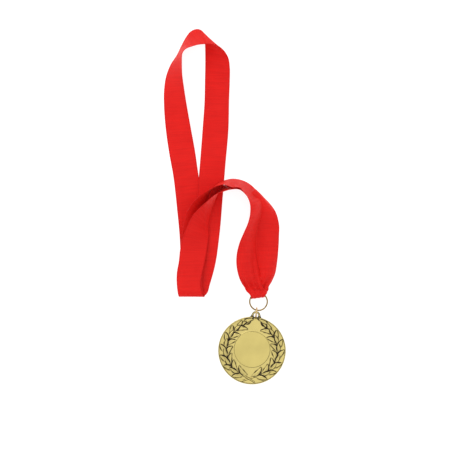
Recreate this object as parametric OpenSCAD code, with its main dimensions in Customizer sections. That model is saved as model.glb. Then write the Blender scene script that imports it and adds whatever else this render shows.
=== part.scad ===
// A struck medal on a looped ribbon, lying face up as it is put down on a table.
// Origin: centre of the medal's flat back face. +Y runs from the medal's centre to its lug,
// +Z points out of the medal's face, and the table is the plane z = 0.

/* [Medal] */
// Diameter of the medal
medal_d = 50; // [45:1:55]
// Thickness of the medal over the rim
medal_t = 3; // [2.8:0.1:3.4]
// Height of the sunken field that the laurel stands on
field_t = 2.1; // [1.9:0.1:2.3]
// Width of the raised rim
rim_w = 0.5; // [0.4:0.1:0.8]
// Diameter of the plain disc let into the face
disc_d = 26.5; // [25:0.5:28]
// How far the disc's centre lies toward the lug from the medal's centre
disc_y = 0.8; // [0:0.2:1]
// Thickness of that disc
disc_t = 0.8; // [0.6:0.1:1]

/* [Laurel] */
// Pairs of leaves on each branch
leaf_pairs = 8; // [6:1:9]
// Length of a leaf
leaf_l = 7; // [5.5:0.1:7.2]
// Width of a leaf
leaf_w = 2.4; // [1.8:0.1:2.6]
// Height of a leaf above the field
leaf_h = 0.6; // [0.3:0.1:0.7]

/* [Lug and rings] */
// Distance from the medal's centre to the centre of the lug's hole
lug_y = 26.2; // [26.1:0.1:26.3]
// Diameter of the lug's hole
lug_hole_d = 3.5; // [3.4:0.1:3.8]
// Thickness of the lug
lug_t = 1.2; // [0.9:0.1:1.2]
// Outside diameter of the small jump ring
jump_d = 8; // [7.9:0.1:8.2]
// Outside diameter of the large ring
large_d = 14; // [13.8:0.1:14.2]
// Wire diameter of both rings
wire_d = 1; // [0.8:0.1:1]

/* [Ribbon] */
// Thickness of the ribbon
ribbon_t = 0.4; // [0.3:0.05:0.5]
// Width of the gathered end where it wraps the large ring
gather_w = 9; // [8.4:0.2:9]
// Angle between the medal and the lay of the ribbon
lay_angle = 6.5; // [6:0.25:7]

/* [Hidden] */
$fn = 96;

medal_r = medal_d / 2;
// Bevels of the outer edge, at the back and at the face, and the slope down from the rim
back_bevel = 0.3;
face_bevel = [0.2, 0.4];
rim_slope = 0.3;
// The seat of the disc: a low raised border round a flat pocket
disc_r = disc_d / 2;
disc_gap = 0.1;
disc_bevel = [0.2, 0.1];
seat_top = medal_t - 0.3;
seat_z = seat_top - disc_t;
border_w = 0.8;
border_slope = 0.2;
// The lug: a ring of metal round its hole, with straight shoulders down to the rim
lug_wall = 1.4;
lug_r = lug_hole_d / 2 + lug_wall;
lug_z = 1.25;
shoulder_top = [0.86 * lug_r, lug_y + 1.5];
shoulder_foot = [5, medal_r - 1.5];
jump_r = (jump_d - wire_d) / 2;
jump_y = 28.4;
jump_z = jump_d / 2;
large_r = (large_d - wire_d) / 2;
large_x = 0.7;
large_y = 36.55;
large_z = 2.3;
// The ribbon's tunnel for the large ring runs across the lay
tunnel_r = 1.65;
tunnel_x = 4.9;
tunnel_y = 41.7;
gather_t = 0.35;
gather_end_y = 46.9;
gather_end_z = [0.9, 3.9];
// Its outline from above: straight to just past the tunnel, a shoulder, then the wide end
gather_near_y = tunnel_y - 3;
gather_bend_y = tunnel_y + 0.7;
gather_shoulder_y = tunnel_y + 2.2;
gather_shoulder_x = [-3.2, 11.2];
gather_end_x = [-5.7, 12.4];
tack_y = tunnel_y + 2.6;
tack_z = [0.52, 4.12];
tack_w = gather_w - 1.4;
stitch_d = 0.4;
stitch_l = 1.6;
stitches = 9;
branch_r = 19;
leaf_first = -82;
leaf_step = 21;
inner_splay = 34;
outer_splay = 27;
outer_share = 0.87;
pair_w = 1;
leaf_sink = 0.3;

metal_gold = [0.85, 0.74, 0.36];
ring_gold = [0.86, 0.70, 0.42];
ribbon_red = [0.86, 0.13, 0.12];

// The ribbon's route, from one end at the large ring, round the neck bend, to the other end.
// Each row is one line across the ribbon: its first selvedge, then its second selvedge.
// x and y are measured before the turn by lay_angle, and every number is in millimetres.
BACK_TAIL = [
    [[-5.6, 46.8, 3.4], [8.2, 46.8, 3]],
    [[-8, 50.6, 4.6], [7.6, 50.4, 2.8]],
    [[-10.6, 58, 7], [5.5, 58, 2.7]],
    [[-11.5, 69, 11], [3.5, 69, 2.4]],
    [[-9.5, 79, 15.5], [3, 78.5, 2.3]],
    [[-6, 87.5, 18.5], [3.5, 87.5, 2.6]],
    [[-3, 94.5, 20], [5.5, 96, 3.3]],
    [[-1.5, 101.5, 20.2], [8, 104.5, 4.4]],
    [[-1.5, 107.5, 20], [7.5, 111.5, 4.2]],
    [[-3, 112.5, 19.6], [4, 117.5, 2]],
    [[-5.5, 116, 19.2], [-1.5, 123, 1]],
    [[-9, 120, 19], [-7.5, 126, 0.8]],
    [[-15.5, 120.7, 19], [-15.5, 127, 1]]
];
BACK_RISE = [
    [[-20.5, 122.5, 19.6], [-21, 125.5, 1.6]],
    [[-26, 121.5, 20.3], [-27, 122, 1.8]],
    [[-30.5, 119.5, 20], [-30.5, 117.5, 1.8]],
    [[-37, 115.5, 18.5], [-33, 109, 1.8]],
    [[-43, 110, 15], [-34.5, 102, 1.8]],
    [[-47, 104.5, 11.5], [-34.5, 96, 1.8]],
    [[-49.5, 97.5, 8], [-34, 90.5, 1.8]],
    [[-51, 90, 5], [-33.5, 85, 2]],
    [[-52, 82.5, 3.5], [-33.5, 80, 2.3]],
    [[-53.5, 70, 3.3], [-34.5, 69, 3]]
];
INNER_FOLD = [
    [[-55, 57, 4], [-36.5, 57, 3.8]],
    [[-55, 48, 4.6], [-37, 47.5, 4.4]],
    [[-54, 42.4, 4.3], [-35.5, 42.2, 4.2]],
    [[-53, 41.2, 3], [-34.5, 41.2, 2.9]],
    [[-52, 42.6, 1.6], [-33.3, 42.4, 1.6]],
    [[-50, 49, 1], [-31.2, 49, 1]]
];
RIGHT_RUN = [
    [[-46.5, 62, 0.9], [-27.6, 62, 0.9]],
    [[-43.2, 85, 0.9], [-24.2, 85, 0.9]],
    [[-40.4, 115, 0.9], [-21.6, 115, 0.9]],
    [[-38.3, 140, 0.8], [-19.5, 140, 0.8]]
];
NECK_BEND = [
    [[-36.5, 163.5, 0.4], [-17.5, 163.5, 1.5]],
    [[-35, 185.5, 0.3], [-17, 185.5, 4.5]],
    [[-34.7, 200, 0.3], [-16.5, 199.5, 5.5]],
    [[-34.5, 211, 0.3], [-16.5, 209.5, 7]],
    [[-34.5, 219.5, 0.3], [-17.5, 216, 8.7]],
    [[-34.7, 227, 0.3], [-20.5, 221, 11.3]],
    [[-35.3, 232.5, 0.3], [-23.5, 223.7, 12.5]],
    [[-36.5, 236, 0.3], [-26.3, 225.3, 12.5]],
    [[-38.7, 237.6, 0.3], [-30, 226, 12.8]],
    [[-41.7, 237.8, 0.3], [-35, 226, 13.5]],
    [[-45.5, 236, 0.3], [-39.5, 225.5, 14.8]],
    [[-48.5, 232.3, 0.3], [-43.5, 224.3, 16.6]],
    [[-52, 226, 0.3], [-48.5, 222.3, 18.2]],
    [[-55, 219.7, 0.3], [-51, 219.5, 18.6]],
    [[-60.5, 211, 0.3], [-51.7, 210.5, 16.8]],
    [[-63.2, 204, 0.3], [-51.5, 204, 14.8]],
    [[-65, 193, 0.3], [-50, 192.5, 12]],
    [[-65, 180, 0.3], [-48, 180, 8.3]],
    [[-63.7, 163.5, 0.2], [-45.2, 164, 3.8]]
];
LEFT_RUN = [
    [[-61.2, 146, 0.2], [-42.3, 148, 1]],
    [[-58.3, 130, 0.2], [-40, 132, 0.2]],
    [[-55.4, 105, 0.2], [-36.5, 107, 0.2]],
    [[-53.2, 80, 0.2], [-34.3, 80, 0.2]]
];
OUTER_FOLD = [
    [[-52.8, 58, 0.2], [-33.8, 58, 0.2]],
    [[-53, 47, 0.3], [-34, 47, 0.3]],
    [[-53.5, 41.5, 1.2], [-34.8, 41.3, 1.2]],
    [[-54, 40, 3.2], [-35.3, 39.9, 3.2]],
    [[-54.5, 41.5, 5.2], [-36.5, 41.3, 5.1]],
    [[-55.3, 47, 6], [-38, 47, 5.8]]
];
FRONT_RISE = [
    [[-55.5, 57, 5.2], [-37, 57, 5.3]],
    [[-54, 66, 4.8], [-35, 66, 4.5]],
    [[-52.8, 76, 5], [-33.5, 75, 3.6]],
    [[-50.5, 85, 7.5], [-32.5, 81, 3]],
    [[-48, 91, 10.8], [-32, 85.5, 2.6]],
    [[-44.5, 98.5, 14], [-32, 90, 2.4]],
    [[-39.5, 104.5, 17], [-31.5, 96, 2.2]],
    [[-34.5, 109, 19], [-30, 102, 2]],
    [[-29.5, 113.3, 20.2], [-28, 109, 1.8]],
    [[-26.3, 115.5, 20.4], [-26, 114.5, 1.8]]
];
FRONT_TAIL = [
    [[-21.5, 117.3, 19.6], [-22.5, 120.5, 1.5]],
    [[-15.5, 119, 18.6], [-16, 124.3, 0.5]],
    [[-9, 118.8, 17.4], [-7.5, 124, 0.3]],
    [[-4.5, 115.2, 15.5], [-1.5, 121, 0.3]],
    [[-1.2, 112, 12.5], [5, 116, 0.3]],
    [[0.5, 107.5, 9], [12, 110, 0.2]],
    [[1.3, 102, 6], [17, 103.5, 0.2]],
    [[1.5, 94, 3], [20, 93.5, 0.2]],
    [[1.8, 85.5, 1.4], [20, 85, 0.2]],
    [[2, 75, 1.1], [19.5, 74.5, 0.2]],
    [[2.5, 65.5, 1.1], [18.6, 65.5, 0.2]],
    [[3, 56.5, 1.2], [17, 56.5, 0.4]],
    [[1, 50.5, 1.3], [14.2, 50.2, 0.8]],
    [[-1.2, 46.8, 1.4], [12.3, 46.8, 1.3]]
];
ROUTE = concat(BACK_TAIL, BACK_RISE, INNER_FOLD, RIGHT_RUN, NECK_BEND, LEFT_RUN, OUTER_FOLD,
    FRONT_RISE, FRONT_TAIL);
STRETCHES = [for (stretch = [BACK_TAIL, BACK_RISE, INNER_FOLD, RIGHT_RUN, NECK_BEND, LEFT_RUN,
    OUTER_FOLD, FRONT_RISE, FRONT_TAIL]) len(stretch)];
// Lines that are put in between two rows of the route
fill_steps = 3;

// Number of route rows before stretch number s
function rows_before(s) = s == 0 ? 0 : rows_before(s - 1) + STRETCHES[s - 1];
function middle(i) = (ROUTE[i][0] + ROUTE[i][1]) / 2;
function gap(i) = norm(middle(i + 1) - middle(i));
// Slope of selvedge k along the ribbon at row i
function slope(i, k) =
    i == 0 ? (ROUTE[1][k] - ROUTE[0][k]) / gap(0)
    : i == len(ROUTE) - 1 ? (ROUTE[i][k] - ROUTE[i - 1][k]) / gap(i - 1)
    : (gap(i - 1) * (ROUTE[i + 1][k] - ROUTE[i][k]) / gap(i)
        + gap(i) * (ROUTE[i][k] - ROUTE[i - 1][k]) / gap(i - 1)) / (gap(i - 1) + gap(i));
// Point on selvedge k, a share t of the way from row i to row i + 1, on a smooth cubic
function selvedge(i, k, t) = t == 0 ? ROUTE[i][k]
    : (2 * t ^ 3 - 3 * t ^ 2 + 1) * ROUTE[i][k] + (3 * t ^ 2 - 2 * t ^ 3) * ROUTE[i + 1][k]
    + gap(i) * ((t ^ 3 - 2 * t ^ 2 + t) * slope(i, k) + (t ^ 3 - t ^ 2) * slope(i + 1, k));
function unit(v) = v / norm(v);
// Four corners of the ribbon's section there
function section(i, t) =
    let (a = selvedge(i, 0, t), b = selvedge(i, 1, t),
        along = t == 0 ? slope(i, 0) + slope(i, 1)
            : selvedge(i, 0, t + 0.01) + selvedge(i, 1, t + 0.01) - a - b,
        half = unit(cross(b - a, along)) * ribbon_t / 2)
    [a - half, b - half, b + half, a + half];

// A closed strip of ribbon through all the rows of stretch number s, up to the next stretch
module ribbon_stretch(s) {
    first = rows_before(s);
    last = min(first + STRETCHES[s], len(ROUTE) - 1);
    sections = concat(
        [for (i = [first : last - 1]) for (j = [0 : fill_steps - 1]) section(i, j / fill_steps)],
        [section(last, 0)]);
    count = len(sections);
    sides = [for (i = [0 : count - 2]) for (j = [0 : 3])
        let (a = 4 * i + j, b = 4 * i + (j + 1) % 4)
        each j == 2 ? [[a, b, b + 4], [a, b + 4, a + 4]] : [[a, b, a + 4], [b, b + 4, a + 4]]];
    start = [[2, 1, 0], [3, 2, 0]];
    end = [for (f = start) [for (k = [2, 1, 0]) f[k] + 4 * (count - 1)]];
    color(ribbon_red)
        rotate([0, 0, lay_angle])
            polyhedron([for (corners = sections) each corners], concat(sides, start, end));
}

// Torus of wire round the Z axis
module wire_ring(r) {
    rotate_extrude()
        translate([r, 0])
            circle(d = wire_d, $fn = 32);
}

// One leaf lying along +Y from its base, with pointed ends
module leaf(l, w) {
    arc_r = (l * l / 4 + w * w / 4) / w;
    translate([0, l / 2, field_t - leaf_sink])
        intersection() {
            translate([arc_r - w / 2, 0, 0]) cylinder(h = leaf_h + leaf_sink, r = arc_r);
            translate([w / 2 - arc_r, 0, 0]) cylinder(h = leaf_h + leaf_sink, r = arc_r);
        }
}

// The branch on the +X side, from the crossing at the bottom up to the lug
module laurel_branch() {
    for (i = [0 : leaf_pairs - 1])
        rotate([0, 0, leaf_first + i * leaf_step])
            translate([branch_r, 0, 0]) {
                rotate([0, 0, -outer_splay]) translate([pair_w / 2, 0, 0])
                    leaf(leaf_l * outer_share, leaf_w);
                rotate([0, 0, inner_splay]) translate([-pair_w / 2, 0, 0]) leaf(leaf_l, leaf_w);
            }
}

module lug() {
    translate([0, 0, lug_z])
        linear_extrude(lug_t)
            union() {
                translate([0, lug_y]) circle(r = lug_r);
                polygon([[-shoulder_foot[0], shoulder_foot[1]], [-shoulder_top[0], shoulder_top[1]],
                    shoulder_top, shoulder_foot]);
            }
}

// The struck disc: flat back, bevelled edge, raised rim and sunken field
module medal_blank() {
    rotate_extrude()
        polygon([[0, 0], [medal_r - back_bevel, 0], [medal_r, back_bevel],
            [medal_r, medal_t - face_bevel[1]], [medal_r - face_bevel[0], medal_t],
            [medal_r - rim_w, medal_t], [medal_r - rim_w - rim_slope, field_t], [0, field_t]]);
}

module seat_border() {
    border_r = disc_r + border_w;
    translate([0, disc_y, field_t - leaf_sink])
        cylinder(h = seat_top - field_t + leaf_sink, r1 = border_r + border_slope, r2 = border_r);
}

module medal_body() {
    color(metal_gold)
        difference() {
            union() {
                medal_blank();
                seat_border();
                laurel_branch();
                mirror([1, 0, 0]) laurel_branch();
                lug();
            }
            translate([0, disc_y, seat_z]) cylinder(h = medal_t, r = disc_r + disc_gap);
            translate([0, lug_y, -1]) cylinder(h = medal_t + 2, d = lug_hole_d);
        }
}

module centre_disc() {
    color(metal_gold)
        translate([0, disc_y, seat_z])
            rotate_extrude()
                polygon([[0, 0], [disc_r, 0], [disc_r, disc_t - disc_bevel[1]],
                    [disc_r - disc_bevel[0], disc_t], [0, disc_t]]);
}

module jump_ring() {
    color(ring_gold)
        translate([0, jump_y, jump_z])
            rotate([0, 90, 0])
                wire_ring(jump_r);
}

module large_ring() {
    color(ring_gold)
        translate([large_x, large_y, large_z])
            wire_ring(large_r);
}

// Section of the gathered end along the lay: round over the ring, then a flat tongue
module gather_section() {
    wrap_r = tunnel_r + gather_t;
    translate([tunnel_y, large_z]) circle(r = wrap_r);
    polygon([[tunnel_y, large_z - wrap_r], [gather_end_y, gather_end_z[0]],
        [gather_end_y, gather_end_z[1]], [tunnel_y, large_z + wrap_r]]);
}

// Outline of the gathered end from above: narrow at the ring, then as wide as both strands
module gather_outline() {
    left = tunnel_x - gather_w / 2;
    right = tunnel_x + gather_w / 2;
    polygon([[left, gather_near_y], [right, gather_near_y], [right, gather_bend_y],
        [gather_shoulder_x[1], gather_shoulder_y], [gather_end_x[1], gather_end_y],
        [gather_end_x[0], gather_end_y], [gather_shoulder_x[0], gather_shoulder_y],
        [left, gather_bend_y]]);
}

module gathered_end() {
    reach = 30;
    color(ribbon_red)
        rotate([0, 0, lay_angle])
            difference() {
                intersection() {
                    translate([-reach / 2, 0, 0])
                        rotate([90, 0, 90])
                            linear_extrude(reach) gather_section();
                    linear_extrude(large_z * 3) gather_outline();
                }
                translate([-reach / 2, tunnel_y, large_z])
                    rotate([0, 90, 0]) cylinder(h = reach, r = tunnel_r);
            }
}

// Close stitches over the top and under the bottom of the gathered end
module bar_tack() {
    color(ribbon_red * 0.8)
        rotate([0, 0, lay_angle])
            for (i = [0 : stitches - 1])
                for (z = tack_z)
                    translate([tunnel_x + tack_w * (i / (stitches - 1) - 0.5), tack_y, z])
                        rotate([-90, 0, 0]) cylinder(h = stitch_l, d = stitch_d, $fn = 16);
}

module ribbon_back_tail() { ribbon_stretch(0); }
module ribbon_back_rise() { ribbon_stretch(1); }
module ribbon_inner_fold() { ribbon_stretch(2); }
module ribbon_right_run() { ribbon_stretch(3); }
module ribbon_neck_bend() { ribbon_stretch(4); }
module ribbon_left_run() { ribbon_stretch(5); }
module ribbon_outer_fold() { ribbon_stretch(6); }
module ribbon_front_rise() { ribbon_stretch(7); }
module ribbon_front_tail() { ribbon_stretch(8); }

medal_body();
centre_disc();
jump_ring();
large_ring();
gathered_end();
bar_tack();
ribbon_neck_bend();
ribbon_left_run();
ribbon_right_run();
ribbon_outer_fold();
ribbon_inner_fold();
ribbon_front_rise();
ribbon_back_rise();
ribbon_front_tail();
ribbon_back_tail();
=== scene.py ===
from math import cos, pi, radians, sin, tau

import bpy
import numpy as np
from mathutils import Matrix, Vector
from mathutils.bvhtree import BVHTree


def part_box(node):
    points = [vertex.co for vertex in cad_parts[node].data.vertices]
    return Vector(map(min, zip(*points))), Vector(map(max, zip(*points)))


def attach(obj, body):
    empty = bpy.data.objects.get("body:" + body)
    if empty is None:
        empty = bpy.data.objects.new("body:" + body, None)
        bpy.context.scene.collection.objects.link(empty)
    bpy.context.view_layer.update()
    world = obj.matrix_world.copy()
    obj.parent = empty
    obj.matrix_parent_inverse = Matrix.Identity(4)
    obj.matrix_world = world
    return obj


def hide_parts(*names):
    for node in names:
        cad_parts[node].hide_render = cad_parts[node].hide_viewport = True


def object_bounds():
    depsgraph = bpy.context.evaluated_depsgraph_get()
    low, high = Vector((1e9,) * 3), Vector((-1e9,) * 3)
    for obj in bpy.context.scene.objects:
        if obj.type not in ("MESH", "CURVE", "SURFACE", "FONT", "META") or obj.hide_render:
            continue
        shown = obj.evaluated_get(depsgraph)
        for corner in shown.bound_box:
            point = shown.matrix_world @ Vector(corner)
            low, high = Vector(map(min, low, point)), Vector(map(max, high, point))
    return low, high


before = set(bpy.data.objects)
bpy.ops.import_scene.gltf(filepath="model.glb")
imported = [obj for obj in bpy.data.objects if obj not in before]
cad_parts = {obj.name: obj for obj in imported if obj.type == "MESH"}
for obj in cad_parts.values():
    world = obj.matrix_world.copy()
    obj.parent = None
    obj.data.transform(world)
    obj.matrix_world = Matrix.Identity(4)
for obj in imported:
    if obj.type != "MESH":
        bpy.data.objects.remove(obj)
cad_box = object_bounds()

MM = 0.001
LAY_ANGLE = radians(6.5)  # the ribbon's lay is turned this much from the medal's axis


# ---- Helpers -------------------------------------------------------------------------------

def smoothstep(x):
    x = np.clip(x, 0, 1)
    return x * x * (3 - 2 * x)


def turned(points, angle):
    """Points turned about the Z axis."""
    c, s = cos(angle), sin(angle)
    return points @ np.array([[c, s, 0], [-s, c, 0], [0, 0, 1]])


def make_piece(name, points, faces, material, smooth=True, uv=None, values=None):
    """A mesh object. uv is one (u, v) per point, and values are named numbers per point."""
    mesh = bpy.data.meshes.new(name)
    mesh.from_pydata([tuple(p) for p in points], [], [tuple(f) for f in faces])
    mesh.update()
    if uv is not None:
        layer = mesh.uv_layers.new(name="weave")
        corner = np.zeros(len(mesh.loops), dtype=np.int32)
        mesh.loops.foreach_get("vertex_index", corner)
        layer.data.foreach_set("uv", np.asarray(uv, np.float32)[corner].ravel())
    for key, value in (values or {}).items():
        layer = mesh.attributes.new(key, "FLOAT", "POINT")
        layer.data.foreach_set("value", np.asarray(value, np.float32))
    mesh.polygons.foreach_set("use_smooth", [smooth] * len(mesh.polygons))
    mesh.materials.append(material)
    piece = bpy.data.objects.new(name, mesh)
    bpy.context.scene.collection.objects.link(piece)
    return piece


def grid_faces(rows, columns, close_rows=False, start=0):
    """Quads between rings of points that are stored one ring after another."""
    faces = []
    for i in range(rows if close_rows else rows - 1):
        for j in range(columns):
            a, b = i * columns + j, i * columns + (j + 1) % columns
            c, d = ((i + 1) % rows) * columns + (j + 1) % columns, ((i + 1) % rows) * columns + j
            faces.append((start + a, start + b, start + c, start + d))
    return faces


def tube(path, radius, sides):
    """Points and faces of a round tube along a path, with flat ends."""
    ahead = np.roll(path, -1, 0) - np.roll(path, 1, 0)
    ahead[0], ahead[-1] = path[1] - path[0], path[-1] - path[-2]
    ahead /= np.linalg.norm(ahead, axis=1)[:, None]
    side = np.cross(ahead[0], [0.3, 0.2, 1])
    points = []
    for centre, way in zip(path, ahead):
        side = side - way * side.dot(way)
        side /= np.linalg.norm(side)
        up = np.cross(way, side)
        for k in range(sides):
            a = tau * k / sides
            points.append(centre + radius * (cos(a) * side + sin(a) * up))
    faces = grid_faces(len(path), sides)
    faces.append(tuple(range(sides))[::-1])
    faces.append(tuple(range((len(path) - 1) * sides, len(path) * sides)))
    return points, faces


# ---- Materials -----------------------------------------------------------------------------

class Nodes:
    """A new node material, with short calls to add and link its nodes."""

    def __init__(self, name):
        self.material = bpy.data.materials.new(name)
        self.material.use_nodes = True
        self.tree = self.material.node_tree
        self.shader = self.tree.nodes["Principled BSDF"]

    def put(self, socket, value):
        if isinstance(value, bpy.types.NodeSocket):
            self.tree.links.new(value, socket)
        elif isinstance(value, tuple) and len(value) == 3 and socket.type == "RGBA":
            socket.default_value = (*value, 1)
        else:
            socket.default_value = value

    def add(self, kind, out=0, settings=None, **inputs):
        """A new node's output. Its inputs go by name, or by number as i0, i1 and so on."""
        node = self.tree.nodes.new("ShaderNode" + kind)
        for key, value in (settings or {}).items():
            setattr(node, key, value)
        for key, value in inputs.items():
            numbered = key[0] == "i" and key[1:].isdigit()
            self.put(node.inputs[int(key[1:]) if numbered else key.replace("_", " ")], value)
        return node.outputs[out]

    def math(self, operation, a, b=0.0, c=0.0, clamp=False):
        return self.add("Math", settings={"operation": operation, "use_clamp": clamp},
                        i0=a, i1=b, i2=c)

    def total(self, *parts):
        """The sum of values, each given with its weight."""
        terms = [self.math("MULTIPLY", value, weight) for value, weight in parts]
        result = terms[0]
        for term in terms[1:]:
            result = self.math("ADD", result, term)
        return result

    def ridges(self, value, pitch):
        """Rounded ridges from 0 to 1, one for each pitch."""
        return self.math("ABSOLUTE", self.math("SINE", self.math("MULTIPLY", value, pi / pitch)))

    def remap(self, value, low, high, to_low=0.0, to_high=1.0):
        return self.add("MapRange", settings={"interpolation_type": "SMOOTHSTEP"},
                        i0=value, i1=low, i2=high, i3=to_low, i4=to_high)

    def mix(self, share, a, b):
        node = self.tree.nodes.new("ShaderNodeMix")
        node.data_type = "RGBA"
        self.put(node.inputs[0], share)
        self.put(node.inputs[6], a)
        self.put(node.inputs[7], b)
        return node.outputs[2]

    def place(self, stretch=(1, 1, 1)):
        """The piece's own coordinates, in millimetres, stretched."""
        at = self.add("TexCoord", out=3)
        return self.add("Mapping", i0=at, i3=tuple(1000 * s for s in stretch))

    def noise(self, at, scale, detail=3.0, roughness=0.55):
        return self.add("TexNoise", i0=at, Scale=scale, Detail=detail, Roughness=roughness)

    def set(self, **inputs):
        for key, value in inputs.items():
            self.put(self.shader.inputs[key.replace("_", " ")], value)

    def split(self, vector):
        node = self.tree.nodes.new("ShaderNodeSeparateXYZ")
        self.put(node.inputs[0], vector)
        return node.outputs

    def bump(self, height, distance):
        self.set(Normal=self.add("Bump", Strength=1.0, Distance=distance, Height=height))


RIBBON_W = 19.0  # a standard three-quarter-inch ribbon
RIBBON_T = 0.36
RIB_PITCH = 0.56  # from one crosswise rib to the next
WARP_PITCH = 0.42  # from one lengthwise thread to the next
SELVEDGE_W = 0.75
SELVEDGE_BLEND = 0.15
PLY_PITCH = pi / 9  # from one strand of the sewing thread to the next

# Linear colours
# RED_DEEP and RED_LIT, like THREAD_DEEP and THREAD_LIT, are the shaded and lit ends of each cloth's
# tone, which carries painted shade
RED_DEEP = (0.58, 0.004, 0.004)
RED_LIT = (0.90, 0.018, 0.012)
THREAD_DEEP = (0.50, 0.006, 0.006)
THREAD_LIT = (0.82, 0.016, 0.012)
STRUCK_GOLD = (0.68, 0.56, 0.20)
ANTIQUE_AND_SHADE_DARK = (0.026, 0.015, 0.006)
DISC_GOLD = (0.655, 0.54, 0.185)
LARGE_RING_GOLD = (0.28, 0.17, 0.018)
JUMP_RING_GOLD = (0.66, 0.47, 0.20)


def ribbon_material():
    """Fine crosswise ribs over lengthwise threads, with a smoother woven selvedge."""
    m = Nodes("red_ribbon_weave")
    u, v, _ = m.split(m.add("UVMap", settings={"uv_map": "weave"}))
    at = m.place()

    wander = m.math("MULTIPLY", m.noise(at, 0.35, 2), 0.5)
    rib = m.math("POWER", m.ridges(m.math("ADD", v, wander), RIB_PITCH), 0.55)
    warp = m.math("MULTIPLY_ADD", m.ridges(u, WARP_PITCH), 0.3, 0.7)
    body = m.math("MULTIPLY", rib, warp)
    loops = m.math("MULTIPLY_ADD", m.ridges(v, 2 * RIB_PITCH), 0.35, 0.75)
    off_middle = m.math("ABSOLUTE", m.math("SUBTRACT", u, RIBBON_W / 2))
    from_edge = m.math("SUBTRACT", RIBBON_W / 2, off_middle)
    edge = m.remap(from_edge, SELVEDGE_W + SELVEDGE_BLEND, SELVEDGE_W - SELVEDGE_BLEND)
    height = m.math("ADD", m.math("MULTIPLY", body, m.math("SUBTRACT", 1.0, edge)),
                    m.math("MULTIPLY", loops, edge))

    fuzz = m.noise(at, 3.2, 4, 0.7)
    broad = m.noise(at, 0.045, 2)
    strand = m.add("CombineXYZ", i0=m.math("MULTIPLY", u, 0.05), i1=m.math("MULTIPLY", v, 0.85))
    bands = m.remap(m.noise(strand, 1.0, 3, 0.6), 0.3, 0.7, -0.06, 0.06)
    # painted shade: the rib valleys and the selvedges are painted darker; fuzz, broad and bands are
    # the cloth's own uneven tone
    tone = m.total((height, 0.34), (fuzz, 0.36), (broad, 0.26), (edge, -0.22))
    tone = m.math("ADD", tone, bands)
    m.set(Base_Color=m.mix(m.remap(tone, 0.15, 0.95), RED_DEEP, RED_LIT),
          Roughness=m.remap(m.math("ADD", fuzz, height), 0.4, 1.6, 0.68, 0.5),
          Specular_IOR_Level=0.14, Sheen_Weight=0.06, Sheen_Roughness=0.4,
          Sheen_Tint=(1.0, 0.55, 0.4), Subsurface_Weight=0.3,
          Subsurface_Radius=(1.0, 0.2, 0.2), Subsurface_Scale=0.4 * MM)
    m.bump(m.math("ADD", height, m.math("MULTIPLY", fuzz, 0.35)), 0.05 * MM)
    return m.material


def thread_material():
    """Twisted sewing thread."""
    m = Nodes("red_thread_twist")
    at = m.place()
    x, y, _ = m.split(at)
    ply = m.ridges(m.math("ADD", x, m.math("MULTIPLY", y, 0.7)), PLY_PITCH)
    fuzz = m.noise(at, 5, 3)
    # painted shade: the grooves between the ply strands are painted darker and the ply crowns lighter
    m.set(Base_Color=m.mix(m.math("MULTIPLY_ADD", ply, 0.6, 0.2), THREAD_DEEP, THREAD_LIT),
          Roughness=m.remap(fuzz, 0.3, 0.7, 0.75, 0.6), Specular_IOR_Level=0.14)
    m.bump(m.math("ADD", ply, m.math("MULTIPLY", fuzz, 0.4)), 0.04 * MM)
    return m.material


def gold_material(name, base, rough, grain, antique_and_shade=False, wire=False):
    """Gold plate: slow colour drift, fine grain, faint scratches and, if wanted, antiquing with
    painted shade.
    """
    m = Nodes(name)
    at = m.place()
    drift = m.remap(m.noise(at, 0.07, 2), 0.3, 0.7)
    fine = m.noise(at, 9, 3, 0.6)
    scratch = m.noise(m.place((1, 1, 14) if wire else (0.5, 9, 1)), 1.6, 4, 0.75)
    across = m.noise(m.place((7, 0.6, 1)), 1.1, 3, 0.7)
    marks = m.total((m.remap(scratch, 0.6, 0.8), 0.6), (m.remap(across, 0.62, 0.8), 0.4))
    colour = m.mix(drift, tuple(0.94 * b for b in base), tuple(1.04 * b for b in base))
    roughness = m.math("ADD", m.remap(fine, 0.3, 0.7, rough - 0.04, rough + 0.05),
                       m.math("MULTIPLY", marks, 0.06))
    metallic = 1.0
    if antique_and_shade:
        # the attribute holds antiquing and painted shade, which darken the gold alike
        paint = m.add("Attribute", out=2, settings={"attribute_name": "antique_and_shade"})
        wear = m.math("MULTIPLY", m.noise(at, 1.3, 3, 0.7), 0.28)
        share = m.remap(m.math("SUBTRACT", paint, wear, clamp=True), 0.06, 0.48)
        colour = m.mix(share, colour, ANTIQUE_AND_SHADE_DARK)
        roughness = m.math("ADD", roughness, m.math("MULTIPLY", share, 0.25))
        metallic = m.math("MULTIPLY_ADD", share, -0.85, 1.0)
        m.set(Specular_IOR_Level=0.2)
    m.set(Base_Color=colour, Roughness=roughness, Metallic=metallic)
    m.bump(m.math("ADD", fine, m.math("MULTIPLY", marks, -0.5)), grain * MM)
    return m.material


ribbon_cloth = ribbon_material()
thread = thread_material()
antique_and_shaded_gold = gold_material("antique_and_shaded_gold_struck", STRUCK_GOLD, 0.30, 0.010, antique_and_shade=True)
satin_gold = gold_material("satin_gold_disc", DISC_GOLD, 0.34, 0.006)
ring_gold = gold_material("ring_gold_wire", LARGE_RING_GOLD, 0.22, 0.005, wire=True)
jump_gold = gold_material("jump_ring_gold_wire", JUMP_RING_GOLD, 0.22, 0.005, wire=True)


# ---- The ribbon ----------------------------------------------------------------------------
# Each row is one line across the ribbon: its first selvedge, then its second selvedge, in
# millimetres before the turn by LAY_ANGLE.

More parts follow.
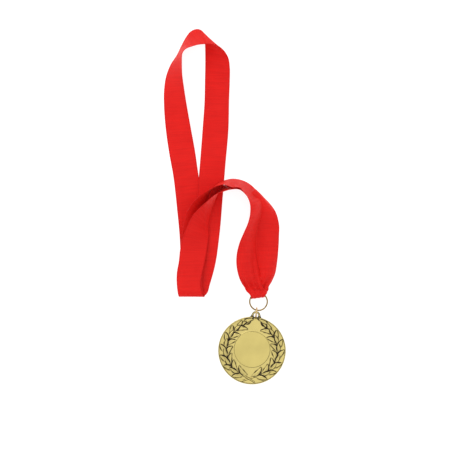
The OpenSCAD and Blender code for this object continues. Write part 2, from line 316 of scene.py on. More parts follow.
BACK_TAIL = [
    [[-5.6, 46.8, 3.4], [8.2, 46.8, 3]],
    [[-8, 50.6, 4.6], [7.6, 50.4, 2.8]],
    [[-10.6, 58, 7], [5.5, 58, 2.7]],
    [[-11.5, 69, 11], [3.5, 69, 2.4]],
    [[-9.5, 79, 15.5], [3, 78.5, 2.3]],
    [[-6, 87.5, 18.5], [3.5, 87.5, 2.6]],
    [[-3, 94.5, 20], [5.5, 96, 3.3]],
    [[-1.5, 101.5, 20.2], [8, 104.5, 4.4]],
    [[-1.5, 107.5, 20], [7.5, 111.5, 4.2]],
    [[-3, 112.5, 19.6], [4, 117.5, 2]],
    [[-5.5, 116, 19.2], [-1.5, 123, 1]],
    [[-9, 120, 19], [-7.5, 126, 0.8]],
    [[-15.5, 120.7, 19], [-15.5, 127, 1]],
]
BACK_RISE = [
    [[-20.5, 122.5, 19.6], [-21, 125.5, 1.6]],
    [[-26, 121.5, 20.3], [-27, 122, 1.8]],
    [[-30.5, 119.5, 20], [-30.5, 117.5, 1.8]],
    [[-37, 115.5, 18.5], [-33, 109, 1.8]],
    [[-43, 110, 15], [-34.5, 102, 1.8]],
    [[-47, 104.5, 11.5], [-34.5, 96, 1.8]],
    [[-49.5, 97.5, 8], [-34, 90.5, 1.8]],
    [[-51, 90, 5], [-33.5, 85, 2]],
    [[-52, 82.5, 3.5], [-33.5, 80, 2.3]],
    [[-53.5, 70, 3.3], [-34.5, 69, 3]],
]
INNER_FOLD = [
    [[-55, 57, 4], [-36.5, 57, 3.8]],
    [[-55, 48, 4.6], [-37, 47.5, 4.4]],
    [[-54, 42.4, 4.3], [-35.5, 42.2, 4.2]],
    [[-53, 41.2, 3], [-34.5, 41.2, 2.9]],
    [[-52, 42.6, 1.6], [-33.3, 42.4, 1.6]],
    [[-50, 49, 1], [-31.2, 49, 1]],
]
RIGHT_RUN = [
    [[-46.5, 62, 0.9], [-27.6, 62, 0.9]],
    [[-43.2, 85, 0.9], [-24.2, 85, 0.9]],
    [[-40.4, 115, 0.9], [-21.6, 115, 0.9]],
    [[-38.3, 140, 0.8], [-19.5, 140, 0.8]],
]
NECK_BEND = [
    [[-36.5, 163.5, 0.4], [-17.5, 163.5, 1.5]],
    [[-35, 185.5, 0.3], [-17, 185.5, 4.5]],
    [[-34.7, 200, 0.3], [-16.5, 199.5, 5.5]],
    [[-34.5, 211, 0.3], [-16.5, 209.5, 7]],
    [[-34.5, 219.5, 0.3], [-17.5, 216, 8.7]],
    [[-34.7, 227, 0.3], [-20.5, 221, 11.3]],
    [[-35.3, 232.5, 0.3], [-23.5, 223.7, 12.5]],
    [[-36.5, 236, 0.3], [-26.3, 225.3, 12.5]],
    [[-38.7, 237.6, 0.3], [-30, 226, 12.8]],
    [[-41.7, 237.8, 0.3], [-35, 226, 13.5]],
    [[-45.5, 236, 0.3], [-39.5, 225.5, 14.8]],
    [[-48.5, 232.3, 0.3], [-43.5, 224.3, 16.6]],
    [[-52, 226, 0.3], [-48.5, 222.3, 18.2]],
    [[-55, 219.7, 0.3], [-51, 219.5, 18.6]],
    [[-60.5, 211, 0.3], [-51.7, 210.5, 16.8]],
    [[-63.2, 204, 0.3], [-51.5, 204, 14.8]],
    [[-65, 193, 0.3], [-50, 192.5, 12]],
    [[-65, 180, 0.3], [-48, 180, 8.3]],
    [[-63.7, 163.5, 0.2], [-45.2, 164, 3.8]],
]
LEFT_RUN = [
    [[-61.2, 146, 0.2], [-42.3, 148, 1]],
    [[-58.3, 130, 0.2], [-40, 132, 0.2]],
    [[-55.4, 105, 0.2], [-36.5, 107, 0.2]],
    [[-53.2, 80, 0.2], [-34.3, 80, 0.2]],
]
OUTER_FOLD = [
    [[-52.8, 58, 0.2], [-33.8, 58, 0.2]],
    [[-53, 47, 0.3], [-34, 47, 0.3]],
    [[-53.5, 41.5, 1.2], [-34.8, 41.3, 1.2]],
    [[-54, 40, 3.2], [-35.3, 39.9, 3.2]],
    [[-54.5, 41.5, 5.2], [-36.5, 41.3, 5.1]],
    [[-55.3, 47, 6], [-38, 47, 5.8]],
]
FRONT_RISE = [
    [[-55.5, 57, 5.2], [-37, 57, 5.3]],
    [[-54, 66, 4.8], [-35, 66, 4.5]],
    [[-52.8, 76, 5], [-33.5, 75, 3.6]],
    [[-50.5, 85, 7.5], [-32.5, 81, 3]],
    [[-48, 91, 10.8], [-32, 85.5, 2.6]],
    [[-44.5, 98.5, 14], [-32, 90, 2.4]],
    [[-39.5, 104.5, 17], [-31.5, 96, 2.2]],
    [[-34.5, 109, 19], [-30, 102, 2]],
    [[-29.5, 113.3, 20.2], [-28, 109, 1.8]],
    [[-26.3, 115.5, 20.4], [-26, 114.5, 1.8]],
]
FRONT_TAIL = [
    [[-21.5, 117.3, 19.6], [-22.5, 120.5, 1.5]],
    [[-15.5, 119, 18.6], [-16, 124.3, 0.5]],
    [[-9, 118.8, 17.4], [-7.5, 124, 0.3]],
    [[-4.5, 115.2, 15.5], [-1.5, 121, 0.3]],
    [[-1.2, 112, 12.5], [5, 116, 0.3]],
    [[0.5, 107.5, 9], [12, 110, 0.2]],
    [[1.3, 102, 6], [17, 103.5, 0.2]],
    [[1.5, 94, 3], [20, 93.5, 0.2]],
    [[1.8, 85.5, 1.4], [20, 85, 0.2]],
    [[2, 75, 1.1], [19.5, 74.5, 0.2]],
    [[2.5, 65.5, 1.1], [18.6, 65.5, 0.2]],
    [[3, 56.5, 1.2], [17, 56.5, 0.4]],
    [[1, 50.5, 1.3], [14.2, 50.2, 0.8]],
    [[-1.2, 46.8, 1.4], [12.3, 46.8, 1.3]],
]

# The front strand's own end goes in between the two layers of the fold
FRONT_END = [[[-0.9, 45.2, 1.6], [12.2, 45.1, 1.5]], [[-0.3, 44.0, 1.7], [11.5, 43.8, 1.8]]]
STRETCHES = (BACK_TAIL, BACK_RISE, INNER_FOLD, RIGHT_RUN, NECK_BEND, LEFT_RUN, OUTER_FOLD,
             FRONT_RISE, FRONT_TAIL)
RIBBON_NODES = ("ribbon_back_tail", "ribbon_back_rise", "ribbon_inner_fold", "ribbon_right_run",
                "ribbon_neck_bend", "ribbon_left_run", "ribbon_outer_fold", "ribbon_front_rise",
                "ribbon_front_tail")

large_low, large_high = (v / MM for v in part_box("large_ring"))
TUNNEL_X, TUNNEL_Y = 4.9, 41.7  # the ribbon's tunnel for the large ring, in the lay
TUNNEL_Z = (large_low.z + large_high.z) / 2
WRAP_R = 1.95  # middle of the cloth round the tunnel


def wrap_row(angle, first, second, loose):
    """A row round the tunnel; its first selvedge stands further out, because the fold is loose."""
    c, s = cos(radians(angle)), sin(radians(angle))
    first_r, second_r = WRAP_R + loose, WRAP_R + 0.9 * max(0, s)
    return [[first, TUNNEL_Y + first_r * c, TUNNEL_Z + first_r * s],
            [second, TUNNEL_Y + WRAP_R * c, TUNNEL_Z + second_r * s]]


# The end that is folded round the large ring, from its hidden end to the tongue's start
WRAP = [
    [[0.9, 46.2, 0.75], [10.2, 46.2, 0.75]],
    [[0.7, 44.6, 0.55], [9.9, 44.6, 0.55]],
    [[0.5, 43.0, 0.38], [9.3, 43.0, 0.38]],
    wrap_row(-90, 0.4, 9.2, 0), wrap_row(-125, 0.2, 9.3, 0.4), wrap_row(-155, -0.2, 9.4, 1.0),
    wrap_row(180, -0.6, 9.4, 1.3), wrap_row(150, -0.6, 9.4, 1.4), wrap_row(120, -0.7, 9.7, 1.5),
    wrap_row(90, -1.8, 10.5, 1.4),
    [[-3.6, 43.2, 4.9], [11.2, 43.2, 4.4]],
    [[-4.8, 45.0, 4.1], [10.6, 45.0, 3.8]],
]


LINE_GAP = 1.1  # aimed distance between lines across the ribbon
LEAST_STEPS, MOST_STEPS = 5, 16  # from one row to the next
BY_SELVEDGE = [0, 0.4, 0.85, 1.4]  # places across the ribbon, from each selvedge
ACROSS = np.array(BY_SELVEDGE + list(np.linspace(2.2, RIBBON_W - 2.2, 17))
                  + [RIBBON_W - e for e in reversed(BY_SELVEDGE)])
SHARE = ACROSS / RIBBON_W

# Spare width stands up as pleats next to the ring and as one broad crown further on. How far
# along the ribbon each reaches, and how high it stands.
PLEATS = 3.5  # waves across the ribbon
PLEAT_REACH, PLEAT_H = 10, 0.7
CROWN_REACH, CROWN_H = 75, 3.6
CROWN_SHARE = 0.85  # of the height that would take up all the spare width
BACK_STRAND = 80  # the back strand's crown leans to its first selvedge up to here
BACK_LEAN, FRONT_LEAN = 0.85, 1.35
DIP_REACH, DIP_FADE, DIP_SHARE = 40, 20, 0.42  # a long hollow in the back strand's crown
DIP_AT, DIP_W = 0.77, 0.09  # as shares of the ribbon's width
SELVEDGE_LIP = 0.09


def bend_through(rows, steps):
    """Smooth lines across the ribbon through all the rows: a cubic along each selvedge."""
    gap = np.linalg.norm(np.diff(rows.mean(1), axis=0), axis=1)[:, None, None]
    leg = np.diff(rows, axis=0) / gap
    inner = (gap[:-1] * leg[1:] + gap[1:] * leg[:-1]) / (gap[:-1] + gap[1:])
    slope = np.concatenate([leg[:1], inner, leg[-1:]])
    lines, place = [], []
    for i in range(len(rows) - 1):
        for k in range(steps[i]):
            t = k / steps[i]
            ends = (2 * t ** 3 - 3 * t ** 2 + 1) * rows[i] + (3 * t ** 2 - 2 * t ** 3) * rows[i + 1]
            bend = (t ** 3 - 2 * t ** 2 + t) * slope[i] + (t ** 3 - t ** 2) * slope[i + 1]
            lines.append(ends + gap[i] * bend)
            place.append(i + t)
    lines.append(rows[-1])
    place.append(len(rows) - 1)
    return np.array(lines), np.array(place)


def ribbon_middle():
    """The ribbon's middle as lines of points across it, each line's length along the ribbon and
    its direction from the first selvedge to the second."""
    laid = [row for stretch in STRETCHES for row in stretch] + FRONT_END
    rows = turned(np.array(WRAP + laid, float), LAY_ANGLE)
    gap = np.linalg.norm(np.diff(rows.mean(1), axis=0), axis=1)
    steps = [int(np.clip(np.ceil(g / LINE_GAP), LEAST_STEPS, MOST_STEPS)) for g in gap]
    lines, place = bend_through(rows, steps)
    first, second = lines[:, 0], lines[:, 1]
    centre = (first + second) / 2
    along = np.concatenate([[0], np.cumsum(np.linalg.norm(np.diff(centre, axis=0), axis=1))])
    chord = np.linalg.norm(second - first, axis=1)
    out = np.cross(second - first, np.gradient(centre, axis=0))
    out /= np.linalg.norm(out, axis=1)[:, None]

    n_wrap = len(WRAP)
    is_wrap = place < n_wrap
    from_back = along - np.interp(n_wrap, place, along)
    from_front = np.interp(len(rows) - 1 - len(FRONT_END), place, along) - along
    far = np.minimum(np.abs(from_back), np.abs(from_front))

    # in the tunnel the pleats only stand outwards, clear of the ring
    wave = np.cos(tau * PLEATS * SHARE)[None, :] + np.interp(place, [8, 10], [1, 0])[:, None]
    in_wrap = np.interp(place, [0, 4, 7, 9, n_wrap], [0.06, 0.08, 0.14, 0.25, PLEAT_H])
    pleat = np.where(is_wrap, in_wrap, PLEAT_H * np.exp(-(far / PLEAT_REACH) ** 2))

    # an arch stands up by about the square root of 3/8 of its spare width times its chord
    spare = np.clip(RIBBON_W - chord, 0, None)
    crown = np.minimum(CROWN_SHARE * np.sqrt(3 / 8 * spare * chord), CROWN_H)
    crown = np.where((far < CROWN_REACH) & ~is_wrap, crown, 0) * smoothstep(far / PLEAT_REACH)
    is_back = from_back < BACK_STRAND
    arch = np.sin(pi * SHARE[None, :] ** np.where(is_back, BACK_LEAN, FRONT_LEAN)[:, None])
    dip = np.exp(-((SHARE - DIP_AT) / DIP_W) ** 2)[None, :]
    dip = dip * np.where(is_back & (far < DIP_REACH), DIP_SHARE, 0)[:, None]
    arch = arch - dip * smoothstep((DIP_REACH - far) / DIP_FADE)[:, None]

    # the cloth is never quite flat
    drift = 0.05 * np.sin(along / 21.0) + 0.03 * np.sin(along / 8.3 + 1.0)
    cupped = (1 - (2 * SHARE - 1) ** 2)[None, :] - 0.5
    up = np.where(is_wrap, 1.0, np.sign(out[:, 2]))
    offset = up[:, None] * (pleat[:, None] * wave + crown[:, None] * arch)
    offset = offset + drift[:, None] * cupped
    middle = centre[:, None, :] + (SHARE[None, :, None] - 0.5) * (second - first)[:, None, :]
    return middle + offset[:, :, None] * out[:, None, :], along, (second - first) / chord[:, None]


def end_faces(start, n):
    """Faces that close a cut end of the ribbon, with n points on each side and a lip between."""
    faces = [(start + j, start + j + 1, start + 2 * n - j - 1, start + 2 * n - j)
             for j in range(n - 1)]
    faces.append((start + n - 1, start + n, start + n + 1))
    faces.append((start, start + 2 * n, start + 2 * n + 1))
    return faces


def build_ribbon():
    middle, along, outward = ribbon_middle()
    # the two faces stand half a thickness off the middle, a little more at the selvedges
    normal = np.cross(np.gradient(middle, axis=1), np.gradient(middle, axis=0))
    normal /= np.linalg.norm(normal, axis=2)[:, :, None]
    from_edge = np.minimum(ACROSS, RIBBON_W - ACROSS)
    half_t = RIBBON_T / 2 * (1 + 0.22 * np.exp(-((from_edge - 0.4) / 0.35) ** 2))
    half_t = half_t * np.where(from_edge < 0.01, 0.72, 1)
    top = middle + normal * half_t[None, :, None]
    bottom = middle - normal * half_t[None, :, None]
    first_lip = middle[:, :1] - outward[:, None] * SELVEDGE_LIP
    last_lip = middle[:, -1:] + outward[:, None] * SELVEDGE_LIP
    ring = np.concatenate([top, last_lip, bottom[:, ::-1], first_lip], axis=1)
    n_lines, n_ring = ring.shape[:2]
    faces = grid_faces(n_lines, n_ring)
    faces += [face[::-1] for face in end_faces(0, len(ACROSS))]
    faces += end_faces((n_lines - 1) * n_ring, len(ACROSS))
    ring_u = np.concatenate([ACROSS, [RIBBON_W], ACROSS[::-1], [0]])
    uv = np.stack([np.tile(ring_u, n_lines), np.repeat(along, n_ring)], axis=1)
    piece = make_piece("neck_ribbon", ring.reshape(-1, 3) * MM, faces, ribbon_cloth, uv=uv)
    return piece, along[-1]


ribbon, ribbon_length = build_ribbon()


# ---- The medal -----------------------------------------------------------------------------

_, body_high = (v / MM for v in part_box("medal_body"))
disc_low, disc_high = (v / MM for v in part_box("centre_disc"))
MEDAL_R = body_high.x
MEDAL_T = body_high.z
RIM_IN = MEDAL_R - 0.5
FIELD_Z = 2.1  # the sunk field that the laurel stands on
DISC_R = disc_high.x
DISC_Y = (disc_low.y + disc_high.y) / 2
DISC_TOP = disc_high.z
SEAT_R = DISC_R + 0.1
SEAT_Z = disc_low.z
LUG_Y = 26.2
LUG_R = body_high.y - LUG_Y
LUG_HOLE_R = 1.75
LUG_LOW, LUG_HIGH = 1.25, 2.45
DENT_Z = 1.5  # round the lug's hole the rim is cut down to this height
TURN_STEPS = 720
RELIEF_RINGS = 76
DISC_STEPS = 180
LUG_TURNS, LUG_SIDES = 128, 22

BRANCH_R = 19.2  # the branches' line, from the medal's centre
STEM_HALF, STEM_H = 0.45, 0.42  # half a stem's width, and its height
VEIN_HALF, VEIN_DEPTH = 0.13, 0.14
# Each branch's leaves from its foot to its tip: where the leaf starts round the medal and how
# far it leans in from the branch, both in degrees, then its length and width in mm
INNER_LEAVES = ((-84, 42, 9.6, 3.1), (-61, 37, 8.8, 3.2), (-38, 40, 8.3, 3.2), (-16, 44, 7.9, 3.2),
                (5, 49, 7.8, 3.1), (25, 48, 8.3, 3.1), (45, 35, 9.2, 3.1), (64, -6, 8.6, 2.9))
OUTER_LEAVES = ((-74, -25, 8.0, 3.1), (-52, -27, 7.8, 3.2), (-31, -27, 7.6, 3.2), (-10, -27, 7.6, 3.2),
                (11, -27, 7.4, 3.1), (31, -25, 7.2, 3.0), (50, -21, 6.8, 2.7), (66, -13, 6.0, 2.1))
MIDDLE_LEAVES = ((-63, 4, 7.2, 2.5), (-41, 5, 7.2, 2.6), (-20, 5, 7.0, 2.6), (1, 6, 7.0, 2.6),
                 (21, 5, 6.8, 2.5), (41, 3, 6.4, 2.3), (59, -6, 5.8, 1.9))


def laurel_leaves():
    """(side, foot x, foot y, direction, length, width, bow, height), from the tip down."""
    leaves = []
    for side in (1, -1):
        # each leaf goes on with its foot's distance from the middle, its bow and its height
        rows = [(*leaf, BRANCH_R - 0.3 + 0.035 * max(0, leaf[0] - 30), 1.1, 0.66)
                for leaf in INNER_LEAVES]
        rows += [(*leaf, BRANCH_R + 0.6, -0.35, 0.60) for leaf in OUTER_LEAVES]
        rows += [(*leaf, BRANCH_R + 0.5, 0.15, 0.70) for leaf in MIDDLE_LEAVES]
        for k, (at, lean, length, width, r, bow, tall) in enumerate(rows):
            odd = sin(2.3 * k + side)  # no two leaves lie quite alike
            r += 0.03 * max(0, at - 40)
            a = radians(at + 1.2 * odd)
            way = a + pi / 2 + radians(lean + 2.0 * odd)
            order = at - 4 * tall
            leaves.append((order, side, r * cos(a), r * sin(a), way, length, width, bow, tall))
    return [leaf[1:] for leaf in sorted(leaves, reverse=True)]


def laurel_relief(x, y):
    """Height above the field, and how much antiquing is left plus painted shade, at points x, y in mm.
    """
    height = np.zeros_like(x)
    paint = np.zeros_like(x)
    # the stems: a thin rounded ridge along each branch, crossing at the bottom
    r = np.hypot(x, y)
    for side in (1, -1):
        at = np.degrees(np.arctan2(y, x * side))
        at = np.where(at < -150, at + 360, at)
        path_r = BRANCH_R + 0.1 + 0.005 * np.clip(-72 - at, 0, 60) ** 2
        off = np.abs(r - path_r)
        on = smoothstep((at + 103) / 2) * smoothstep((62 - at) / 20)
        stem = STEM_H * np.sqrt(np.clip(1 - (off / STEM_HALF) ** 2, 0, 1)) * on
        line = np.exp(-((off - 0.5) / 0.28) ** 2) * on
        paint = np.where(stem > 0.02, 0.3 * paint, np.maximum(paint, line))
        height = np.maximum(height, stem)
    # the leaves, each over the ones nearer the tip
    for side, foot_x, foot_y, way, length, width, bow, tall in laurel_leaves():
        along = (x * side - foot_x) * cos(way) + (y - foot_y) * sin(way)
        across = -(x * side - foot_x) * sin(way) + (y - foot_y) * cos(way)
        t = np.clip(along / length, 0, 1)
        across = across + bow * 4 * t * (1 - t)
        half = width / 2 * np.sin(pi * np.clip(t, 0.01, 0.99) ** 0.85) ** 0.8
        q = np.abs(across) / half
        inside = (along > 0) & (along < length) & (q < 1)
        dome = np.clip(1 - q ** 2.4, 0, 1) ** 0.6
        leaf = 1.15 * tall * dome * (0.45 + 0.55 * smoothstep(t * 2)) * (0.7 + 0.3 * np.sin(pi * t))
        vein = np.exp(-(across / VEIN_HALF) ** 2) * smoothstep(t * 6) * smoothstep((0.88 - t) * 6)
        leaf = leaf - VEIN_DEPTH * vein * dome

        # the antiquing is uneven; the side that faces the branch's tip holds the darkest strokes and a
        # darker half, both painted shade, and the field round each leaf gets painted shade
        patch = 0.5 * np.sin(1.1 * x + 0.5 * y + side) * np.sin(0.9 * y - 0.6 * x + 2.0 * side)
        patch = 0.5 + patch
        shaded_side = smoothstep(0.5 + 0.9 * (-across if bow > 0.5 else across) / half)
        strong = (0.72 + 0.5 * shaded_side) * (0.6 + 0.6 * patch)
        strong = strong * smoothstep(t / 0.4) * np.sin(pi * np.clip(t, 0.03, 0.97)) ** 0.3
        near = (along > -0.1) & (along < length + 0.1)
        beyond = np.clip(np.where(near, np.abs(across) - half, 9.0), 0, 9)
        outline = strong * np.exp(-(beyond / (0.44 + 0.20 * shaded_side)) ** 2)
        shade = (0.34 + 0.24 * patch) * np.exp(-(beyond / 1.1) ** 2)
        within = np.clip((1 - q) * half, 0, 9)
        edge = strong * np.exp(-(within / (0.24 + 0.18 * shaded_side)) ** 2)
        # painted shade across the leaf, darker on its shaded side, over antiquing in the vein
        vein_and_side_shade = np.maximum(0.5 * vein * dome, 0.42 * shaded_side * (0.6 + 0.4 * patch))
        paint = np.where(inside, np.maximum(edge, vein_and_side_shade),
                         np.maximum(paint, np.maximum(outline, shade)))
        height = np.where(inside, np.maximum(leaf, 0.25 * height),
                          height - 0.10 * outline * (height < 0.05))
    return height, np.clip(paint, 0, 1)


def lug_dent(x, y):
    """How far the rim is cut away round the lug's hole."""
    return smoothstep((LUG_HOLE_R + 0.9 - np.hypot(x, y - LUG_Y)) / 0.5)


def build_medal_body():
    turns = tau * np.arange(TURN_STEPS) / TURN_STEPS
    rows, paints = [], []

    # (radius, height, antiquing) from the middle of the back, round the rim, to the field
    for r, z, dark in ((0.02, 0, 0), (8, 0, 0), (16, 0, 0), (MEDAL_R - 0.55, 0, 0),
                       (MEDAL_R - 0.3, 0.03, 0), (MEDAL_R - 0.09, 0.12, 0), (MEDAL_R, 0.35, 0),
                       (MEDAL_R, 1.2, 0.45), (MEDAL_R, 2.1, 0.45), (MEDAL_R, MEDAL_T - 0.4, 0.45),
                       (MEDAL_R - 0.06, MEDAL_T - 0.2, 0.45), (MEDAL_R - 0.2, MEDAL_T - 0.05, 0),
                       (MEDAL_R - 0.4, MEDAL_T, 0), (RIM_IN + 0.08, MEDAL_T, 0),
                       (RIM_IN + 0.02, MEDAL_T - 0.08, 0), (RIM_IN, MEDAL_T - 0.25, 0.45),
                       (RIM_IN - 0.06, FIELD_Z + 0.4, 0.9)):
        x, y = r * np.cos(turns), r * np.sin(turns)
        sunk = np.where(z > DENT_Z, lug_dent(x, y), 0)
        rows.append(np.stack([x, y, z * (1 - sunk) + DENT_Z * sunk], 1))
        paints.append(np.full_like(turns, dark))

    # the field and its laurel, in rings that shift from the medal's centre to the disc's
    for r in np.linspace(RIM_IN - 0.12, SEAT_R + 0.3, RELIEF_RINGS):
        inward = np.clip((RIM_IN - r) / (RIM_IN - SEAT_R), 0, 1)
        x, y = r * np.cos(turns), r * np.sin(turns) + DISC_Y * inward
        height, paint = laurel_relief(x, y)
        from_seat = np.hypot(x, y - DISC_Y) - SEAT_R
        # leaves sink a little under the rim, and the field lifts softly to the seat's border
        height = height * smoothstep((RIM_IN - r) / 0.3) * (1 - lug_dent(x, y))
        paint = paint * (1 - lug_dent(x, y))
        lift = (DISC_TOP - 0.02 - FIELD_Z) * np.clip(1 - from_seat / 4.5, 0, 1) ** 2
        height = np.minimum(height + 0.6 * lift, MEDAL_T - 0.06 - FIELD_Z) * (height > 0.01)
        rim_foot = 0.7 * np.exp(-((RIM_IN - 0.1 - r) / 0.2) ** 2)
        rows.append(np.stack([x, y, FIELD_Z + np.maximum(height, lift)], 1))
        paints.append(np.maximum(paint, rim_foot))

    # (radius, height, antiquing and painted shade) from the seat's border down to the middle of the
    # seat
    for r, z, dark in ((SEAT_R + 0.15, DISC_TOP - 0.01, 0), (SEAT_R + 0.06, DISC_TOP - 0.01, 0.55),
                       (SEAT_R, DISC_TOP - 0.05, 1), (SEAT_R, DISC_TOP - 0.3, 1),
                       (SEAT_R, SEAT_Z, 1), (9, SEAT_Z, 0), (0.02, SEAT_Z, 0)):
        x, y = r * np.cos(turns), r * np.sin(turns) + DISC_Y
        rows.append(np.stack([x, y, np.full_like(turns, z)], 1))
        # painted shade: the seat's dark border is darkest on its upper-left and lower-right sides
        paints.append(dark * (0.3 + 0.7 * np.cos(turns - 0.75 * pi) ** 2))

    points = np.concatenate(rows)
    n = len(points)
    faces = grid_faces(len(rows), TURN_STEPS)
    faces.append(tuple(range(TURN_STEPS))[::-1])
    faces.append(tuple(range(n - TURN_STEPS, n)))
    lug_points, lug_faces, lug_paint = lug_mesh(n)
    return make_piece("medal_body_struck", np.concatenate([points, lug_points]) * MM,
                      faces + lug_faces, antique_and_shaded_gold,
                      values={"antique_and_shade": np.concatenate([*paints, lug_paint])})


def lug_reach(dx, dy):
    """How far the lug's outline lies from its hole's centre, in the direction dx, dy."""
    reach = LUG_R
    if dy < 0.35:
        # the shoulder's line runs from the circle down to the rim
        for side in (1, -1):
            x0, y0, x1, y1 = side * LUG_R * 0.93, 1.0, side * 4.9, -2.9
            nx, ny = (y0 - y1) * side, (x1 - x0) * side
            towards = dx * nx + dy * ny
            if towards > 0 and dx * side > -0.01:
                reach = max(reach, min((x0 * nx + y0 * ny) / towards, 6.0))
    if dy < -0.55:
        reach = min(reach, 3.4 / -dy)
    return reach


def lug_mesh(start):
    """The lug, round about its hole, with shoulders that run down into the rim."""
    points, paint = [], []
    for i in range(LUG_TURNS):
        a = tau * i / LUG_TURNS
        dx, dy = sin(a), cos(a)
        reach = lug_reach(dx, dy)
        for k in range(LUG_SIDES):
            b = tau * k / LUG_SIDES
            c, s = cos(b), sin(b)
            across = abs(c) ** 0.75 * (1 if c > 0 else -1)
            lift = abs(s) ** 0.55 * (1 if s > 0 else -1)
            rho = (LUG_HOLE_R + reach) / 2 + (reach - LUG_HOLE_R) / 2 * across
            z = (LUG_LOW + LUG_HIGH) / 2 + (LUG_HIGH - LUG_LOW) / 2 * lift
            if s > 0.2:  # a raised collar round the hole
                collar = np.exp(-((rho - LUG_HOLE_R - 0.75) / 0.5) ** 2)
                z += 0.22 * (collar - 0.35)
            points.append((rho * dx, LUG_Y + rho * dy, z))

            # the hole's wall and the collar's side towards the medal are painted dark: antiquing plus
            # a painted shadow in and under the hole
            dark = 0.0
            if c < -0.6:  # the hole's wall
                dark = 0.95
            elif c < 0.1 and s > 0:  # the collar, darker towards the medal
                dark = min(0.95, max(0.3, 0.3 - 1.5 * dy))
            if c > 0.3 and abs(dx) > 0.4 and s > -0.2:  # the flanks
                dark = max(dark, 0.9)
            if s > 0.2 and reach > LUG_R + 0.4:  # the groove between collar and shoulder
                dark = max(dark, 0.9 * np.exp(-((rho - LUG_HOLE_R - 1.6) / 0.3) ** 2))
            paint.append(dark)
    faces = grid_faces(LUG_TURNS, LUG_SIDES, close_rows=True, start=start)
    return np.array(points), faces, np.array(paint)


def build_disc():
    """The plain flat disc, with a rounded edge."""
    profile = [(0.02, SEAT_Z + 0.02), (DISC_R - 0.1, SEAT_Z + 0.02), (DISC_R, SEAT_Z + 0.12),
               (DISC_R, DISC_TOP - 0.2), (DISC_R - 0.03, DISC_TOP - 0.09),
               (DISC_R - 0.12, DISC_TOP - 0.02), (DISC_R - 0.3, DISC_TOP)]
    profile += [(r, DISC_TOP) for r in (11, 8, 5, 2, 0.02)]
    turns = tau * np.arange(DISC_STEPS) / DISC_STEPS
    points = np.concatenate([
        np.stack([r * np.cos(turns), r * np.sin(turns) + DISC_Y, np.full_like(turns, z)], 1)
        for r, z in profile])
    faces = grid_faces(len(profile), DISC_STEPS)
    faces.append(tuple(range(DISC_STEPS))[::-1])
    faces.append(tuple(range(len(points) - DISC_STEPS, len(points))))
    return make_piece("centre_disc_satin", points * MM, faces, satin_gold)


# ---- Rings and stitches --------------------------------------------------------------------

WIRE_STEPS, WIRE_SIDES = 150, 20
BUTT_GAP = 0.09  # between the wire's two ends
BUTT_SLIP = 0.05  # how far each end springs in or out
TACK_HALF = 4.0  # half the bar tack's width
TACK_Y = 3.4  # from the tunnel's middle
STITCH_L = 1.6
ZIGZAGS, TACK_STEPS = 10, 160
THREAD_R, THREAD_SIDES = 0.17, 8
THREAD_FLOOR = 0.2  # the thread lies no lower than this


def build_ring(name, node, joint_at, plane, material):
    """A wire ring with its butt joint at an angle in degrees."""
    low, high = (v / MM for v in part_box(node))
    centre = (low + high) / 2
    wire = min(high - low) / 2
    r = (high.y - low.y) / 2 - wire
    gap = BUTT_GAP / r
    joint = radians(joint_at)
    turns = np.linspace(joint + gap / 2, joint + tau - gap / 2, WIRE_STEPS)
    slip = BUTT_SLIP * np.linspace(-1, 1, WIRE_STEPS) ** 9
    path = np.zeros((WIRE_STEPS, 3))
    path[:, plane[0]], path[:, plane[1]] = (r + slip) * np.cos(turns), (r + slip) * np.sin(turns)
    points, faces = tube((path + np.array(centre)) * MM, wire * MM, WIRE_SIDES)
    return make_piece(name, points, faces, material)


def build_tack(cloth):
    """A zigzag of thread across the gathered end, on its top and under it."""
    mesh = cloth.data
    tree = BVHTree.FromPolygons([v.co for v in mesh.vertices],
                                [tuple(p.vertices) for p in mesh.polygons])
    points, faces = [], []
    for down in (True, False):
        path = []
        for k in range(TACK_STEPS + 1):
            x = TUNNEL_X + TACK_HALF * (k / (TACK_STEPS / 2) - 1)
            zigzag = np.arcsin(sin(pi * 0.5 + tau * ZIGZAGS * k / TACK_STEPS))
            y = TUNNEL_Y + TACK_Y + STITCH_L / pi * zigzag
            at = turned(np.array([x, y, 12.0 if down else -5.0]), LAY_ANGLE)
            hit = tree.ray_cast(Vector(at) * MM, Vector((0, 0, -1 if down else 1)))[0]
            z = hit.z / MM if hit else 2.0
            path.append((at[0], at[1], z + (0.08 if down else -0.02)))
        path = np.array(path)
        for _ in range(2):  # the thread is pulled straight over the smallest dips
            path[1:-1, 2] = (path[:-2, 2] + 2 * path[1:-1, 2] + path[2:, 2]) / 4
        path[:, 2] = np.maximum(path[:, 2], THREAD_FLOOR)
        run_points, run_faces = tube(path * MM, THREAD_R * MM, THREAD_SIDES)
        faces += [tuple(len(points) + v for v in face) for face in run_faces]
        points += run_points
    return make_piece("bar_tack_thread", points, faces, thread)


medal = build_medal_body()
disc = build_disc()
large_ring = build_ring("large_ring_wire", "large_ring", -40, (0, 1), ring_gold)
jump_ring = build_ring("jump_ring_wire", "jump_ring", 100, (1, 2), jump_gold)
tack = build_tack(ribbon)

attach(ribbon, "ribbon")
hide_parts(*RIBBON_NODES, "gathered_end")
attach(tack, "ribbon")
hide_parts("bar_tack")
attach(medal, "medal")
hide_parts("medal_body")
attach(disc, "medal")
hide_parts("centre_disc")
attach(large_ring, "large_ring")
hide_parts("large_ring")
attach(jump_ring, "jump_ring")
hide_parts("jump_ring")


# ---- Floor, camera and lights --------------------------------------------------------------

FLOOR_HALF = 3.0  # metres
FLOOR_DROP = 0.0001  # metres below the part, so that no two faces coincide


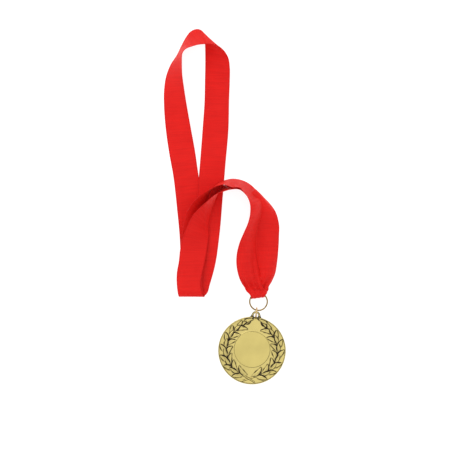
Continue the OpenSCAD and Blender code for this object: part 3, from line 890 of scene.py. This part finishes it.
def build_floor():
    m = Nodes("pale_floor")
    cloud = m.noise(m.place((0.02, 0.02, 0.02)), 1.0, 3)
    m.set(Base_Color=m.mix(cloud, (0.30, 0.30, 0.30), (0.33, 0.33, 0.33)), Roughness=0.6,
          Specular_IOR_Level=0.2, Emission_Color=(1.0, 1.0, 1.0), Emission_Strength=0.86)
    half, z = FLOOR_HALF, cad_box[0].z - FLOOR_DROP
    corners = [(-half, -half, z), (half, -half, z), (half, half, z), (-half, half, z)]
    floor = make_piece("floor", corners, [(0, 1, 2, 3)], m.material, smooth=False)


VIEW_W = 0.3348  # width of the view on the table, in metres like CAMERA_HEIGHT
VIEW_CENTRE = Vector(turned(np.array([-19.22, 92.15, 0]), LAY_ANGLE)) * MM
CAMERA_HEIGHT = 2.0
SENSOR_W = 36  # millimetres
SKY_LOW, SKY_HIGH = 0.72, 1.08  # grey below and overhead


def build_camera():
    camera = bpy.data.objects.new("camera", bpy.data.cameras.new("camera"))
    bpy.context.scene.collection.objects.link(camera)
    camera.location = VIEW_CENTRE + Vector((0, 0, CAMERA_HEIGHT))
    camera.rotation_euler = (0, 0, LAY_ANGLE)
    camera.data.sensor_width = SENSOR_W
    camera.data.lens = SENSOR_W * CAMERA_HEIGHT / VIEW_W
    camera.data.clip_start, camera.data.clip_end = 0.05, 30
    bpy.context.scene.camera = camera


def softbox(name, azimuth, elevation, distance, size, power):
    """A square light aimed at the middle of the view. Azimuth 0 is the top of the view."""
    light = bpy.data.objects.new(name, bpy.data.lights.new(name, "AREA"))
    bpy.context.scene.collection.objects.link(light)
    a, e = radians(azimuth) - LAY_ANGLE, radians(elevation)
    away = Vector((sin(a) * cos(e), cos(a) * cos(e), sin(e)))
    light.location = VIEW_CENTRE + away * distance
    light.rotation_euler = away.to_track_quat("Z", "Y").to_euler()
    light.data.size = size
    light.data.energy = power
    light.visible_camera = False


def build_light():
    """A pale sky, brighter overhead, and one large softbox."""
    world = bpy.data.worlds.new("studio")
    bpy.context.scene.world = world
    world.use_nodes = True
    tree = world.node_tree
    back = tree.nodes["Background"]
    at = tree.nodes.new("ShaderNodeTexCoord")
    split = tree.nodes.new("ShaderNodeSeparateXYZ")
    ramp = tree.nodes.new("ShaderNodeValToRGB")
    tree.links.new(at.outputs["Generated"], split.inputs[0])
    tree.links.new(split.outputs[2], ramp.inputs[0])
    tree.links.new(ramp.outputs[0], back.inputs["Color"])
    steps = ramp.color_ramp.elements
    steps[0].position, steps[0].color = 0.0, (SKY_LOW, SKY_LOW, SKY_LOW, 1)
    steps[1].position, steps[1].color = 1.0, (SKY_HIGH, SKY_HIGH, SKY_HIGH, 1)
    back.inputs["Strength"].default_value = 1.0
    softbox("key", -25, 38, 1.6, 0.9, 5)


build_floor()
build_camera()
build_light()
bpy.context.scene.view_settings.view_transform = "Standard"

print("ribbon length, mm:", round(float(ribbon_length), 1))
